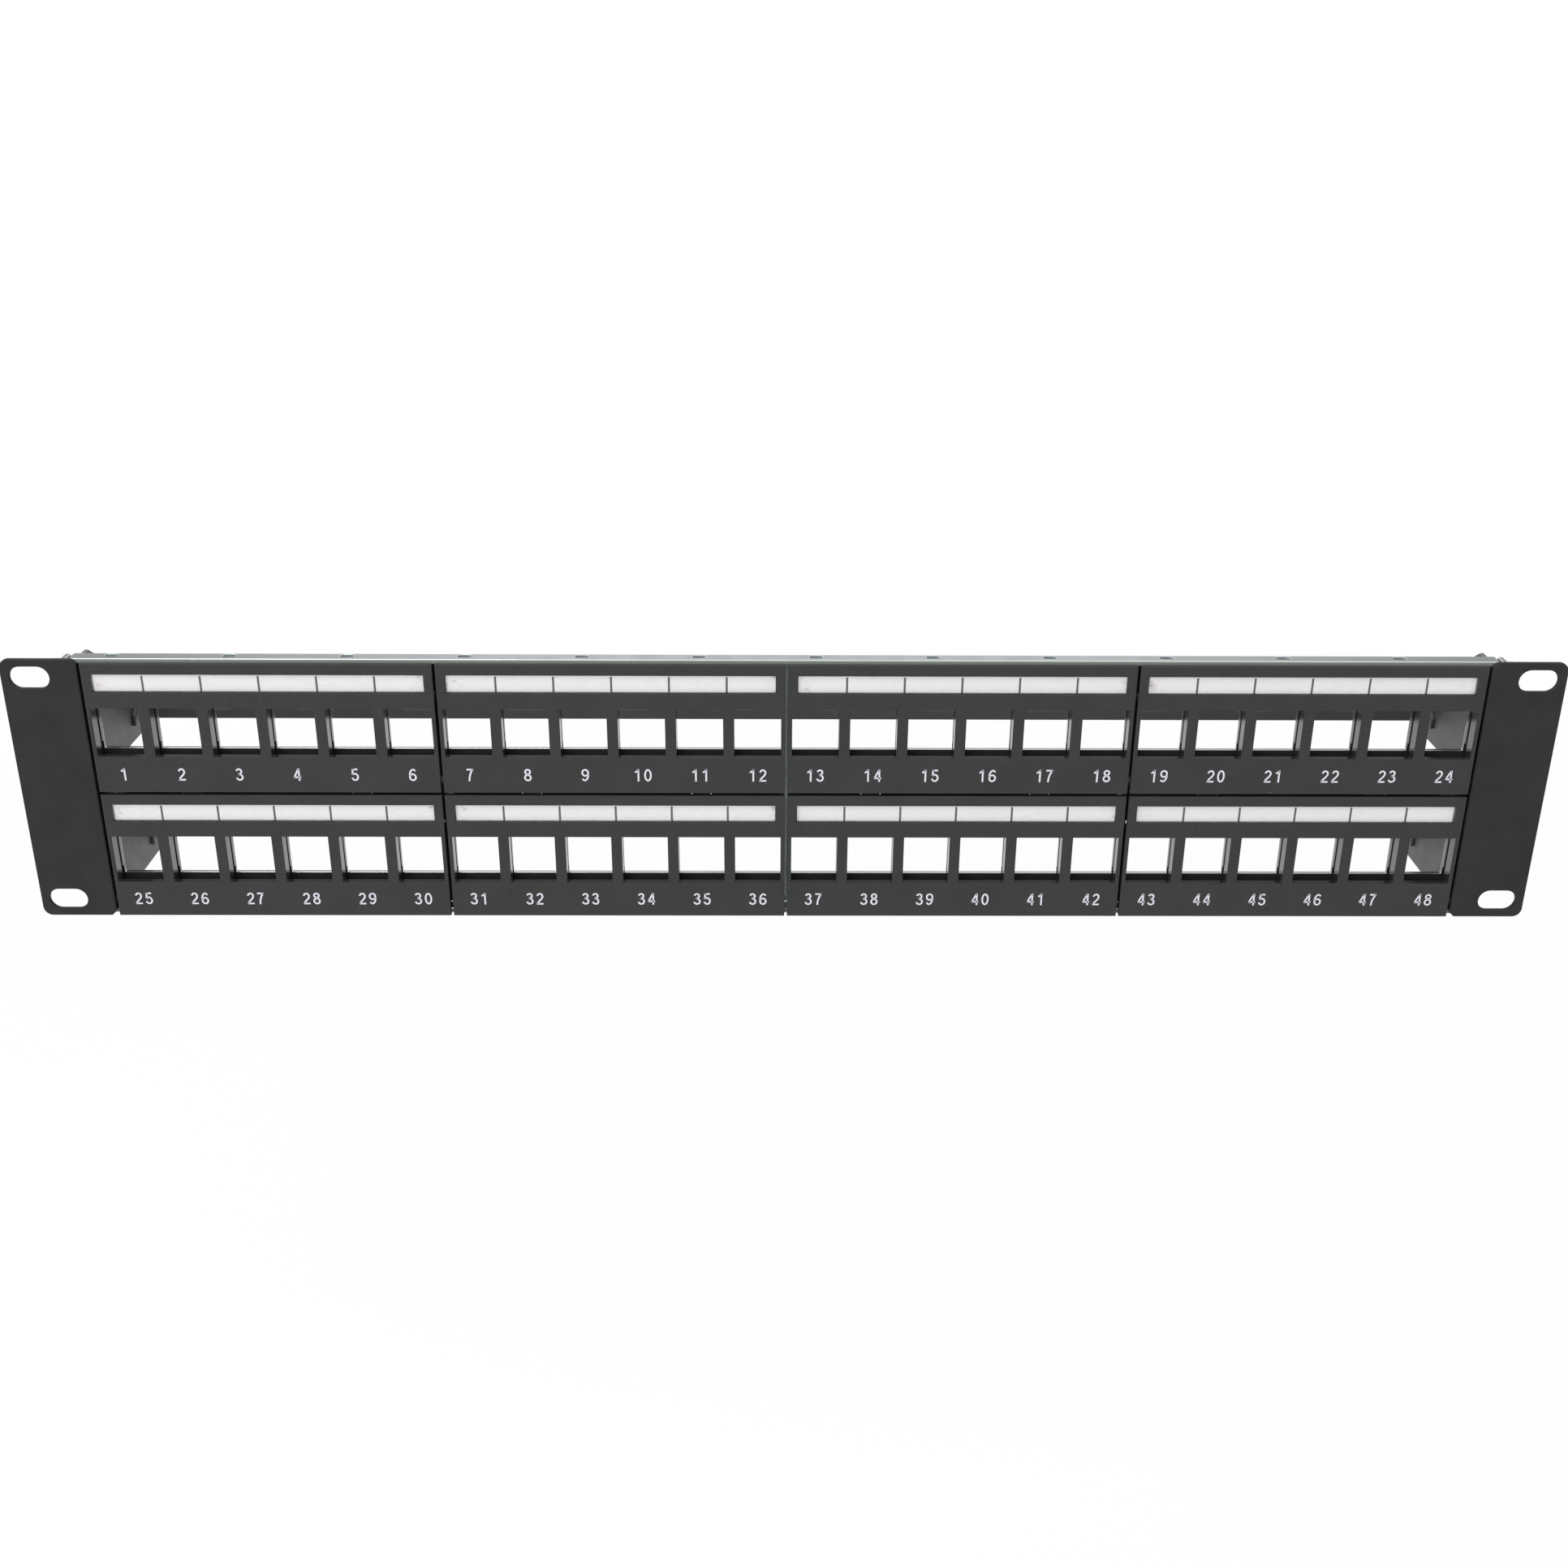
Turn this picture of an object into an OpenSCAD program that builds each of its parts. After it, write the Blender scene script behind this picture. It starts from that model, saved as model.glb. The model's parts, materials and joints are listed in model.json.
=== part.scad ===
// Unloaded keystone patch panel for a 19 inch rack, two units high, with 48 jack openings.
// X runs to the right seen from the front, Y to the rear and Z up, in millimetres.
// The origin is the middle of the rack slots, on the rear face of the ears, which seats on the rack.

/* [Panel] */
// Width over both ears
panel_w = 482.6; // [470:0.1:580]
// Height of the ears
panel_h = 88.1; // [86:0.1:108]
// Thickness of the ears
ear_t = 1.6; // [1.2:0.1:2.2]
// Height lost by the sloped ends of an ear's leg
leg_slope = 6; // [2:0.5:12]
// Radius of the ears' outer corners
ear_corner_r = 3; // [1:0.5:6]
// Chamfer of the ears' inner corners
ear_chamfer = 1.5; // [0.5:0.1:2.5]
// Distance between the left and right rack slots
slot_dx = 465.1; // [460:0.1:560]
// Distance between the upper and lower rack slots
slot_dz = 76.2; // [63:0.1:78]
// Width of a rack slot
slot_w = 7.1; // [6:0.1:9]
// Length of a rack slot from end to end
slot_len = 12.3; // [9:0.1:14]

/* [Ports] */
// Distance between neighbouring ports
port_pitch = 18.1; // [16.8:0.1:18.2]
// Ports in one bezel
ports = 6; // [4:1:6]
// Width of a port in the bezel
port_w = 14.65; // [12:0.05:14.8]
// Height of a port in the bezel
port_h = 16.2; // [13:0.05:17]
// Height of a port's lower edge above the bezel's lower edge
port_z = 12.1; // [11.5:0.05:12.3]
// Depth of the lip under a port, from the face to the trough behind it
lip_depth = 2.3; // [1.9:0.1:3]
// Thickness of the wall between the trough and the web
catch_t = 0.5; // [0.4:0.1:0.8]
// Height of the pockets at the rear of the trough, above a port's lower edge
pocket_h = 3; // [1:0.1:4]
// How far a pocket cuts into the side of a port
pocket_cut = 0.9; // [0.5:0.05:1]

/* [Rows] */
// Bezels in a row
bezels_in_row = 4; // [2:1:4]
// Distance between the two rows
row_pitch = 43.8; // [43:0.1:54]
// Gap between the upper and the lower bezels
row_gap = 0.9; // [0.3:0.05:0.95]
// How far the upper bezels' lower edge lies below the middle
row_drop = 0.25; // [0:0.05:0.4]
// Gap between neighbouring bezels
seam = 0.85; // [0.2:0.05:0.9]
// Gap between an end bezel and an ear
ear_gap = 0.9; // [0.2:0.05:1]

/* [Bezel] */
// Thickness of the bezel's face
face_t = 1.5; // [1.2:0.1:1.8]
// Depth of the groove in the side of a port, behind the face
groove_depth = 4.2; // [3:0.1:4.6]
// Width of that groove
groove_w = 1.2; // [0.6:0.1:1.6]
// How far the groove cuts into the side of a port
groove_cut = 0.4; // [0.2:0.05:0.6]
// Height of the rim of a port behind the face, above and below the port
rim_h = 2.2; // [1:0.1:2.4]

/* [Label] */
// Distance of the label window from the middle of the seam at each end of a bezel
label_margin = 3.3; // [2:0.1:20]
// Height of the label window
label_h = 5.85; // [4:0.05:7]
// Height of the window's lower edge above the bezel's lower edge
label_z = 33.55; // [32:0.05:34.5]
// Thickness of the paper strip
paper_t = 0.25; // [0.15:0.05:0.4]
// Thickness of the clear cover
cover_t = 0.9; // [0.6:0.05:1]
// Gap between the cover and the window's edges
cover_gap = 0.15; // [0.1:0.05:0.3]
// Distance of the cover's front behind the face
cover_back = 0.35; // [0:0.05:0.5]
// Thickness of the wall behind the label
backing_t = 1.2; // [0.8:0.1:1.6]
// Width of that wall beyond the window
backing_rim = 1; // [0.6:0.1:1.4]

/* [Frame] */
// Thickness of the frame's steel sheet
sheet_t = 1.6; // [1.2:0.1:1.8]
// Depth of the web's rear face behind the panel's face
web_depth = 8.4; // [7.8:0.1:10.2]
// Outer radius of the frame's folds
fold_r = 2; // [1.9:0.1:2.6]
// How much lower the frame is than the two rows together
frame_trim = 0; // [0:0.1:0.8]
// How far the frame's end flanges stand out beyond the ports' field
frame_side = 5.6; // [5:0.1:5.8]
// Distance of an upper or lower flange's end from the outside of the end flange
corner_notch = 2.4; // [2:0.1:4]
// Width of a keystone cut-out in the web
cutout_w = 15.05; // [14.9:0.05:15.4]
// Height of a keystone cut-out in the web
cutout_h = 19; // [16:0.1:19.6]
// Height of a cut-out's lower edge above the bezel's lower edge
cutout_z = 12.4; // [12.1:0.05:12.6]

/* [Snaps] */
// Width of a snap window in a flange
window_w = 4.2; // [3.4:0.1:5]
// Depth of a snap window, front to rear
window_d = 2.4; // [1.8:0.1:2.6]
// Depth of a snap window's middle behind the face
window_y = 5; // [4.4:0.1:5.1]
// Gap round a snap in its window
snap_gap = 0.2; // [0.1:0.05:0.3]
// Thickness of a snap's arm
snap_t = 1.2; // [0.9:0.1:1.5]
// Height of the web's peg slots above or below the middle seam
peg_z = 3.4; // [3:0.1:4]
// Width of a peg
peg_w = 6; // [4:0.1:8]
// Thickness of a peg
peg_t = 1.4; // [1:0.1:1.8]
// Height of the lip that holds a peg behind the web
peg_lip = 0.6; // [0.3:0.05:0.8]

/* [Side arms] */
// Distance of an arm's inner face from the end of the ports' field
arm_side = 0.6; // [0.2:0.1:2]
// Thickness of an arm
arm_t = 1.2; // [1:0.1:1.8]
// Length of an arm behind the web
arm_len = 44; // [38:1:60]
// Length of the level top edge of an arm
arm_level = 3.5; // [2:0.5:8]
// Height of an arm at its rear end
arm_end_h = 17.5; // [17:0.5:24]
// Gap between the upper and the lower arms
arm_gap = 2.55; // [2:0.05:4]
// Height of an arm's lower edge above the bezel's lower edge
arm_z = 2.2; // [1:0.05:2.4]
// Radius of an arm's rear corners
arm_r = 3; // [1:0.5:5]
// Width of the feet that lie on the web
foot_w = 9; // [7:0.5:12]
// Height of the feet
foot_h = 6.6; // [6:0.1:6.8]
// Distance of the feet from the upper and lower edges of an arm
foot_inset = 1.2; // [1:0.1:1.4]
// Radius of the rivets in the feet
rivet_r = 1.6; // [1.2:0.1:1.8]
// Radius of those rivets' heads
rivet_head_r = 2.8; // [2.4:0.1:3]
// Thickness of those rivets' heads
rivet_head_h = 0.6; // [0.4:0.1:0.7]
// Radius of the rivets in the ears
ear_rivet_r = 1.2; // [0.8:0.1:1.4]
// Radius of their heads inside the frame
ear_rivet_head_r = 2.1; // [1.6:0.1:2.2]
// Height of the outer rivets in an ear above and below the middle one
ear_rivet_dz = 26; // [15:1:30]

/* [Cable bars] */
// Height of a cable bar
bar_h = 10; // [10:0.5:11]
// Thickness of a cable bar
bar_t = 1.2; // [1:0.1:1.6]
// Height of a bar's lower edge above the bezel's lower edge
bar_z = 7.4; // [4:0.1:8]
// Depth of a bar's front face behind the panel's face
bar_y = 45; // [44.5:0.1:47.5]
// Depth of the front end of a bar's tabs behind the panel's face
tab_y = 37.6; // [32:0.1:38]
// Outer radius of a bar's bends
bar_r = 3.5; // [2:0.1:3.6]
// Chamfer of the upper front corner of a bar's tabs
tab_chamfer = 6.5; // [2:0.1:6.6]
// Distance of a bar's screws behind the front end of its tabs
tab_screw = 3; // [2.6:0.1:3.2]
// Height of a bar's screws above the bar's lower edge
tab_screw_z = 3.4; // [2.4:0.1:3.6]
// Number of cable-tie slots in a bar
tie_slots = 12; // [4:1:16]
// Length of a cable-tie slot
tie_len = 14; // [8:0.5:18]
// Width of a cable-tie slot
tie_w = 3; // [2:0.5:5]
// Radius of the screws that hold a bar
screw_r = 1.5; // [1.2:0.1:1.6]
// Radius of a screw's head
screw_head_r = 2.8; // [2.4:0.1:3.5]
// Thickness of a screw's head
screw_head_h = 1.6; // [1:0.1:2]

/* [Hidden] */
rows = 2;
bezel_count = rows * bezels_in_row;
bezel_pitch = ports * port_pitch;
bezel_w = bezel_pitch - seam;
bezel_h = row_pitch - row_gap;
label_w = bezel_pitch - 2 * label_margin;
label_y = cover_back + cover_t;
label_floor = label_y + paper_t;
field_w = bezels_in_row * bezel_pitch;
frame_w = field_w + 2 * frame_side;
frame_h = rows * row_pitch - frame_trim;
web_y = web_depth - sheet_t;
ear_in = field_w / 2 - seam / 2 + ear_gap;
leg_x = frame_w / 2;
flange_in = frame_h / 2 - sheet_t;
mid_seam = -row_drop - row_gap / 2;
arm_x = field_w / 2 + arm_side;
arm_h = row_pitch - arm_gap;
cut = 1;
slip = 0.1;
smooth = 48;

bezel_names = [for (i = [1:bezel_count]) str("bezel_", i)];
label_names = [for (i = [1:bezel_count]) str("label_", i)];
cover_names = [for (i = [1:bezel_count]) str("label_cover_", i)];
sides = ["left", "right"];
levels = ["upper", "lower"];
arm_names = [for (v = levels) for (s = sides) str("arm_", v, "_", s)];
bar_names = [for (v = levels) str("cable_bar_", v)];
ear_names = [for (s = sides) str("ear_", s)];

// Lower edge of row 0, the upper one, and row 1, the lower one.
function row_z(row) = -row_drop - row * row_pitch;
// Middle of a bezel, counted along the upper row and then along the lower row.
function bezel_x(i) = (i % bezels_in_row - (bezels_in_row - 1) / 2) * bezel_pitch;
function bezel_row(i) = floor(i / bezels_in_row);
// Middle of a port in its bezel.
function port_x(k) = (k - (ports - 1) / 2) * port_pitch;
// Every second port has a snap over or under it.
snap_ports = [for (k = [0:2:ports - 1]) k];
// Two pegs hold the edge that lies on the middle seam.
peg_ports = [1, ports - 2];
// Places of the foot rivets on an arm, above the arm's lower edge.
foot_places = [foot_inset + foot_h / 2, arm_h - foot_inset - foot_h / 2];
foot_rivet_x = arm_x - foot_w / 2;
leg_rivet_z = [-ear_rivet_dz, 0, ear_rivet_dz];
leg_rivet_y = (ear_t + web_depth - fold_r) / 2;
screw_y = tab_y + tab_screw;
tie_pitch = (2 * arm_x - 4 * bar_r) / tie_slots;

// Everything is modelled from the face of the panel and then set back onto the ears' rear face.
module at_face() translate([0, -ear_t, 0]) children();

// Sets a shape on the left or the right side.
module on_side(side) mirror([side == 0 ? 1 : 0, 0, 0]) children();

// A box from its lowest to its highest corner.
module span(low, high) translate(low) cube(high - low);

// A slot with round ends along X, through a plate whose thickness lies along Y.
module slot_y(length, width, depth) {
    flat = length - width;
    translate([-flat / 2, 0, -width / 2]) cube([flat, depth, width]);
    for (x = [-flat / 2, flat / 2])
        translate([x, 0, 0]) rotate([-90, 0, 0]) cylinder(h = depth, d = width, $fn = smooth);
}

// A quarter ring that folds a sheet from +X, below the middle, round to +Y, beside it.
module fold_2d(outer, t) intersection() {
    difference() {
        circle(r = outer, $fn = smooth);
        circle(r = outer - t, $fn = smooth);
    }
    square(outer);
}

// Section of a shallow channel: a web of the given height, with a fold and a forward flange at each end.
module channel_2d(height, depth, t, front) {
    translate([depth - t, -height / 2 + fold_r]) square([t, height - 2 * fold_r]);
    for (s = [0, 1]) mirror([0, s]) {
        translate([depth - fold_r, height / 2 - fold_r]) fold_2d(fold_r, t);
        translate([front, height / 2 - t]) square([depth - fold_r - front, t]);
    }
}

// The zinc-plated pan that carries everything.
module frame() color("silver") at_face() difference() {
    union() {
        frame_rows();
        frame_ends();
    }
    frame_cutouts();
    frame_windows();
    frame_peg_slots();
    frame_rivet_holes();
}

// The web with its upper and lower flanges.
module frame_rows() {
    length = frame_w - 2 * corner_notch;
    translate([-length / 2, 0, 0]) rotate([90, 0, 90]) linear_extrude(length)
        channel_2d(frame_h, web_depth, sheet_t, face_t + slip);
}

// The web again, between the corner notches, with its end flanges, which run on to the full height.
module frame_ends() {
    height = frame_h - 2 * corner_notch;
    translate([0, 0, -height / 2]) linear_extrude(height) mirror([1, -1])
        channel_2d(frame_w, web_depth, sheet_t, ear_t);
    for (s = [0, 1]) on_side(s)
        span([leg_x - sheet_t, ear_t, -frame_h / 2], [leg_x, web_depth - fold_r, frame_h / 2]);
}

module frame_cutouts() for (i = [0:bezel_count - 1], k = [0:ports - 1])
    translate([bezel_x(i) + port_x(k) - cutout_w / 2, web_y - cut, row_z(bezel_row(i)) + cutout_z])
        cube([cutout_w, sheet_t + 2 * cut, cutout_h]);

module frame_windows() for (i = [0:bezels_in_row - 1], k = snap_ports, s = [0, 1]) mirror([0, 0, s])
    translate([bezel_x(i) + port_x(k), window_y, flange_in - cut]) rotate([90, 0, 0])
        slot_y(window_w, window_d, sheet_t + 2 * cut);

// A peg slot leaves room on one side for the peg's lip to pass.
module frame_peg_slots() for (i = [0:bezels_in_row - 1], k = peg_ports, s = [0, 1])
    translate([bezel_x(i) + port_x(k), 0, mid_seam]) mirror([0, 0, s]) {
        half = peg_w / 2 + snap_gap;
        span([-half, web_y - cut, peg_z - peg_t / 2 - peg_lip - 2 * snap_gap],
             [half, web_depth + cut, peg_z + peg_t / 2 + snap_gap]);
    }

module frame_rivet_holes() for (s = [0, 1]) on_side(s) {
    for (z = leg_rivet_z)
        translate([leg_x - sheet_t - cut, leg_rivet_y, z]) rotate([0, 90, 0])
            cylinder(h = sheet_t + 2 * cut, r = ear_rivet_r, $fn = smooth);
    for (row = [0, 1], z = foot_places)
        translate([foot_rivet_x, web_y - cut, row_z(row) + arm_z + z]) rotate([-90, 0, 0])
            cylinder(h = sheet_t + 2 * cut, r = rivet_r, $fn = smooth);
}

// A rack ear: a slotted plate with a leg folded back along the frame's end flange.
module ear(side) color([0.16, 0.16, 0.16]) at_face() on_side(side) difference() {
    union() {
        ear_plate();
        ear_leg();
    }
    for (z = [-slot_dz / 2, slot_dz / 2])
        translate([slot_dx / 2, -cut, z]) slot_y(slot_len, slot_w, ear_t + 2 * cut);
    for (z = leg_rivet_z)
        translate([leg_x - cut, leg_rivet_y, z]) rotate([0, 90, 0])
            cylinder(h = ear_t + 2 * cut, r = ear_rivet_r, $fn = smooth);
}

module ear_plate() translate([0, ear_t, 0]) rotate([90, 0, 0]) linear_extrude(ear_t) ear_2d();

// Outline of an ear: chamfered at the bezels' side, rounded at the outer side.
module ear_2d() {
    straight_x = panel_w / 2 - ear_corner_r;
    straight_z = panel_h / 2 - ear_corner_r;
    for (s = [0, 1]) mirror([0, s]) {
        polygon([[ear_in, 0], [straight_x, 0], [straight_x, panel_h / 2],
                 [ear_in + ear_chamfer, panel_h / 2], [ear_in, panel_h / 2 - ear_chamfer]]);
        translate([straight_x, straight_z]) circle(r = ear_corner_r, $fn = smooth);
    }
    translate([straight_x - cut, -straight_z]) square([ear_corner_r + cut, 2 * straight_z]);
}

// The leg's ends slope away from the face.
module ear_leg() translate([leg_x, 0, 0]) rotate([90, 0, 90]) linear_extrude(ear_t)
    polygon([[0, -panel_h / 2], [ear_t, -panel_h / 2], [web_depth, -panel_h / 2 + leg_slope],
             [web_depth, panel_h / 2 - leg_slope], [ear_t, panel_h / 2], [0, panel_h / 2]]);

// A black six-port bezel. In the lower row its snaps and pegs are turned over.
module bezel(i) color([0.2, 0.2, 0.2]) at_face() translate([bezel_x(i), 0, 0]) {
    row = bezel_row(i);
    translate([0, 0, row_z(row)]) difference() {
        union() {
            bezel_face();
            bezel_posts();
            bezel_backing();
        }
        for (k = [0:ports - 1]) translate([port_x(k), 0, 0]) port_cut();
        label_recess();
    }
    mirror([0, 0, row]) for (k = snap_ports) translate([port_x(k), 0, 0]) snap();
    translate([0, 0, mid_seam]) mirror([0, 0, row]) for (k = peg_ports) translate([port_x(k), 0, 0]) peg();
}

module bezel_face() span([-bezel_w / 2, 0, 0], [bezel_w / 2, face_t, bezel_h]);

// The block of posts between the ports, which seats on the web.
module bezel_posts()
    span([-bezel_w / 2, 0, port_z - rim_h], [bezel_w / 2, web_y, port_z + port_h + rim_h]);

// The wall behind the label strip.
module bezel_backing() {
    half = label_w / 2 + backing_rim;
    top = label_z + label_h + backing_rim;
    span([-half, 0, label_z - backing_rim], [half, label_floor + backing_t, top]);
}

// A port with a groove down each side. Under it a trough separates the lip that a jack sits on from a thin
// wall in front of the web, which ends level with the cut-out. At the rear the trough runs on into a pocket
// in each side of the port.
module port_cut() {
    top = port_z + port_h;
    half = port_w / 2;
    groove_half = half + groove_cut;
    pocket_half = half + pocket_cut;
    wall_y = web_y - catch_t;
    floor_z = port_z - rim_h - cut;
    span([-half, -cut, port_z], [half, wall_y, top]);
    span([-half, lip_depth, floor_z], [half, wall_y, top]);
    span([-pocket_half, groove_depth, floor_z], [pocket_half, wall_y, port_z + pocket_h]);
    span([-half, lip_depth, cutout_z], [half, web_y + cut, top]);
    span([-groove_half, groove_depth, port_z], [groove_half, groove_depth + groove_w, top]);
}

module label_recess()
    span([-label_w / 2, -cut, label_z], [label_w / 2, label_floor, label_z + label_h]);

// A snap that runs back inside a flange and hooks into its window. It is drawn for the upper row.
module snap() {
    half = window_w / 2;
    nub_half = (window_w - window_d) / 2;
    far = flange_in - slip;
    near = far - snap_t;
    rear = window_y + window_d / 2 - snap_gap;
    front = window_y - window_d / 2 + snap_gap;
    span([-half, face_t - slip, near], [half, rear, far]);
    span([-nub_half, front, near], [nub_half, rear, flange_in + sheet_t / 2]);
}

// A peg that runs back through the web near the middle seam, with a lip behind the web.
// It is drawn for the upper row, from the middle seam.
module peg() {
    lip_y = web_depth + slip;
    span([-peg_w / 2, face_t - slip, peg_z - peg_t / 2], [peg_w / 2, lip_y + peg_t, peg_z + peg_t / 2]);
    span([-peg_w / 2, lip_y, peg_z - peg_t / 2], [peg_w / 2, lip_y + peg_t, peg_z + peg_t / 2 + peg_lip]);
}

// A plate in the label recess of a bezel, between two depths behind the face.
module label_plate(i, front, rear) at_face() translate([bezel_x(i), 0, row_z(bezel_row(i)) + label_z]) {
    half = label_w / 2 - cover_gap;
    span([-half, front, cover_gap], [half, rear, label_h - cover_gap]);
}

// A white paper strip on the floor of the label recess.
module label(i) color("white") label_plate(i, label_y, label_floor);

// A clear cover that lies on the strip and pulls out to the front.
module label_cover(i) color([0.9, 0.95, 1, 0.4]) label_plate(i, cover_back, label_y);

// A zinc side arm with two feet riveted to the web. Its top slopes down to the rear.
module arm(row, side) color("gray") at_face() on_side(side) translate([0, 0, row_z(row) + arm_z]) {
    difference() {
        union() {
            translate([arm_x, web_depth, 0]) rotate([90, 0, 90]) linear_extrude(arm_t) arm_2d();
            for (z = foot_places) arm_foot(z);
        }
        for (z = foot_places)
            translate([foot_rivet_x, web_depth - cut, z]) rotate([-90, 0, 0])
                cylinder(h = arm_t + 2 * cut, r = rivet_r, $fn = smooth);
        translate([arm_x - cut, screw_y, bar_z + tab_screw_z - arm_z]) rotate([0, 90, 0])
            cylinder(h = arm_t + 2 * cut, r = screw_r, $fn = smooth);
    }
}

// Outline of an arm, with its rear corners rounded.
module arm_2d() {
    polygon([[0, 0], [arm_len - arm_r, 0], [arm_len - arm_r, arm_end_h], [arm_level, arm_h], [0, arm_h]]);
    translate([arm_len - 2 * arm_r, arm_r]) square([2 * arm_r, arm_end_h - 2 * arm_r]);
    for (z = [arm_r, arm_end_h - arm_r]) translate([arm_len - arm_r, z]) circle(r = arm_r, $fn = smooth);
}

module arm_foot(z)
    span([arm_x - foot_w, web_depth, z - foot_h / 2], [arm_x + slip, web_depth + arm_t, z + foot_h / 2]);

// A black cable bar: a strip with its ends folded forward along the arms.
module cable_bar(row) color([0.1, 0.1, 0.1]) at_face() translate([0, 0, row_z(row) + bar_z]) difference() {
    linear_extrude(bar_h) bar_2d();
    for (k = [0:tie_slots - 1])
        translate([(k - (tie_slots - 1) / 2) * tie_pitch, bar_y - cut, bar_h / 2])
            slot_y(tie_len, tie_w, bar_t + 2 * cut);
    for (s = [0, 1]) on_side(s) translate([arm_x - bar_t - cut, 0, 0]) {
        translate([0, screw_y, tab_screw_z]) rotate([0, 90, 0])
            cylinder(h = bar_t + 2 * cut, r = screw_r, $fn = smooth);
        translate([0, tab_y, bar_h]) rotate([90, 0, 90]) linear_extrude(bar_t + 2 * cut)
            polygon([[-cut, cut], [-cut, -tab_chamfer - cut], [tab_chamfer + cut, cut]]);
    }
}

module bar_2d() {
    straight = arm_x - bar_r;
    translate([-straight, bar_y]) square([2 * straight, bar_t]);
    for (s = [0, 1]) mirror([s, 0]) {
        translate([straight, bar_y + bar_t - bar_r]) fold_2d(bar_r, bar_t);
        translate([arm_x - bar_t, tab_y]) square([bar_t, bar_y + bar_t - bar_r - tab_y]);
    }
}

// Rivets through the ears' legs, headed inside the frame and flush outside, so that the ears pass the rack.
module ear_rivets() color("gainsboro") at_face() for (s = [0, 1], z = leg_rivet_z) on_side(s)
    translate([leg_x - sheet_t, leg_rivet_y, z]) rotate([0, 90, 0]) {
        cylinder(h = sheet_t + ear_t, r = ear_rivet_r, $fn = smooth);
        translate([0, 0, -rivet_head_h]) cylinder(h = rivet_head_h, r = ear_rivet_head_r, $fn = smooth);
    }

// Rivets through the arms' feet, headed on both sides.
module arm_rivets() color("gainsboro") at_face() for (s = [0, 1], row = [0, 1], z = foot_places) on_side(s)
    translate([foot_rivet_x, web_y, row_z(row) + arm_z + z]) rotate([-90, 0, 0]) {
        grip = sheet_t + arm_t;
        cylinder(h = grip, r = rivet_r, $fn = smooth);
        for (y = [-rivet_head_h, grip])
            translate([0, 0, y]) cylinder(h = rivet_head_h, r = rivet_head_r, $fn = smooth);
    }

// Screws through the arms into the bars' tabs.
module bar_screws() color("gainsboro") at_face() for (s = [0, 1], row = [0, 1]) on_side(s)
    translate([arm_x + arm_t, screw_y, row_z(row) + bar_z + tab_screw_z]) rotate([0, 90, 0]) {
        grip = arm_t + bar_t;
        translate([0, 0, -grip]) cylinder(h = grip, r = screw_r, $fn = smooth);
        cylinder(h = screw_head_h, r = screw_head_r, $fn = smooth);
    }

frame();
for (s = [0, 1]) ear(s);
for (i = [0:bezel_count - 1]) bezel(i);
for (i = [0:bezel_count - 1]) label(i);
for (i = [0:bezel_count - 1]) label_cover(i);
for (row = [0, 1], s = [0, 1]) arm(row, s);
for (row = [0, 1]) cable_bar(row);
ear_rivets();
arm_rivets();
bar_screws();
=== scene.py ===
# %% [markdown]
# # An unloaded keystone patch panel, two units high
# This lesson dresses a finished CAD model. The model arrives as a fixed frame in metres: X runs to the right,
# Y to the rear and Z up, and the panel's face is the plane Y = -1.6 mm. Shapes that are right stay as they are
# and only get a finish. Edges that are too sharp for a moulding, plain rivets and the printed numbers are made here.

# %% Load the frame
import json
import math
import bmesh
import bpy
from mathutils import Matrix, Vector

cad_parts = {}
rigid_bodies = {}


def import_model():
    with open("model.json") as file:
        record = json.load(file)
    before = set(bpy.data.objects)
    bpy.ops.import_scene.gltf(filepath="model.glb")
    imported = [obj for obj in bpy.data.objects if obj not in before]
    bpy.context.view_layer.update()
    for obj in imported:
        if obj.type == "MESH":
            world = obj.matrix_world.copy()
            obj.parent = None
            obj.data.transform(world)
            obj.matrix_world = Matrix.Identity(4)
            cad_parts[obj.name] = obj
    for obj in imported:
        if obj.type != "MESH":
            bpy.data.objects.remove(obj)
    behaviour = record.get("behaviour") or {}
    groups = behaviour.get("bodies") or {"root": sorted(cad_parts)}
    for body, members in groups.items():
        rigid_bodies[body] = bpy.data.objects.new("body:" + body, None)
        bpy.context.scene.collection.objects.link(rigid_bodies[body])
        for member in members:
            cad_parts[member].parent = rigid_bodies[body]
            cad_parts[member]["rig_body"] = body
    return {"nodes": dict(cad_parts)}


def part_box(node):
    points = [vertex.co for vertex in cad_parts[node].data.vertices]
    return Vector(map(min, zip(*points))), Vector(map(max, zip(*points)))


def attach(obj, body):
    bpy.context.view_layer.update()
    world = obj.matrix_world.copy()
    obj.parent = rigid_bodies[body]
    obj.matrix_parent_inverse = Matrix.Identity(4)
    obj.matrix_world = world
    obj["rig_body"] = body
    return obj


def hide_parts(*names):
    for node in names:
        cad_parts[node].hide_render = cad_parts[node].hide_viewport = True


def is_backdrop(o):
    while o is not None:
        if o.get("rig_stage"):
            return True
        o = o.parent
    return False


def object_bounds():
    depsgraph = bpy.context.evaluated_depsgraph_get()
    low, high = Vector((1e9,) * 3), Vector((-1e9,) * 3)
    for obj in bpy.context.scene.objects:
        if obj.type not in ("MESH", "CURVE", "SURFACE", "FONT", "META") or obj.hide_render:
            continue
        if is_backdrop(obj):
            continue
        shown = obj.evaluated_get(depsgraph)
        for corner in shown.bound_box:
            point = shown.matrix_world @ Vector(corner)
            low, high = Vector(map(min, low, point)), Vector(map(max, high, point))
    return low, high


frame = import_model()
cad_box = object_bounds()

MM = 0.001
cad = frame["nodes"]
print("nodes", len(cad), "box in mm", [[round(v / MM, 2) for v in corner] for corner in cad_box])

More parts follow.
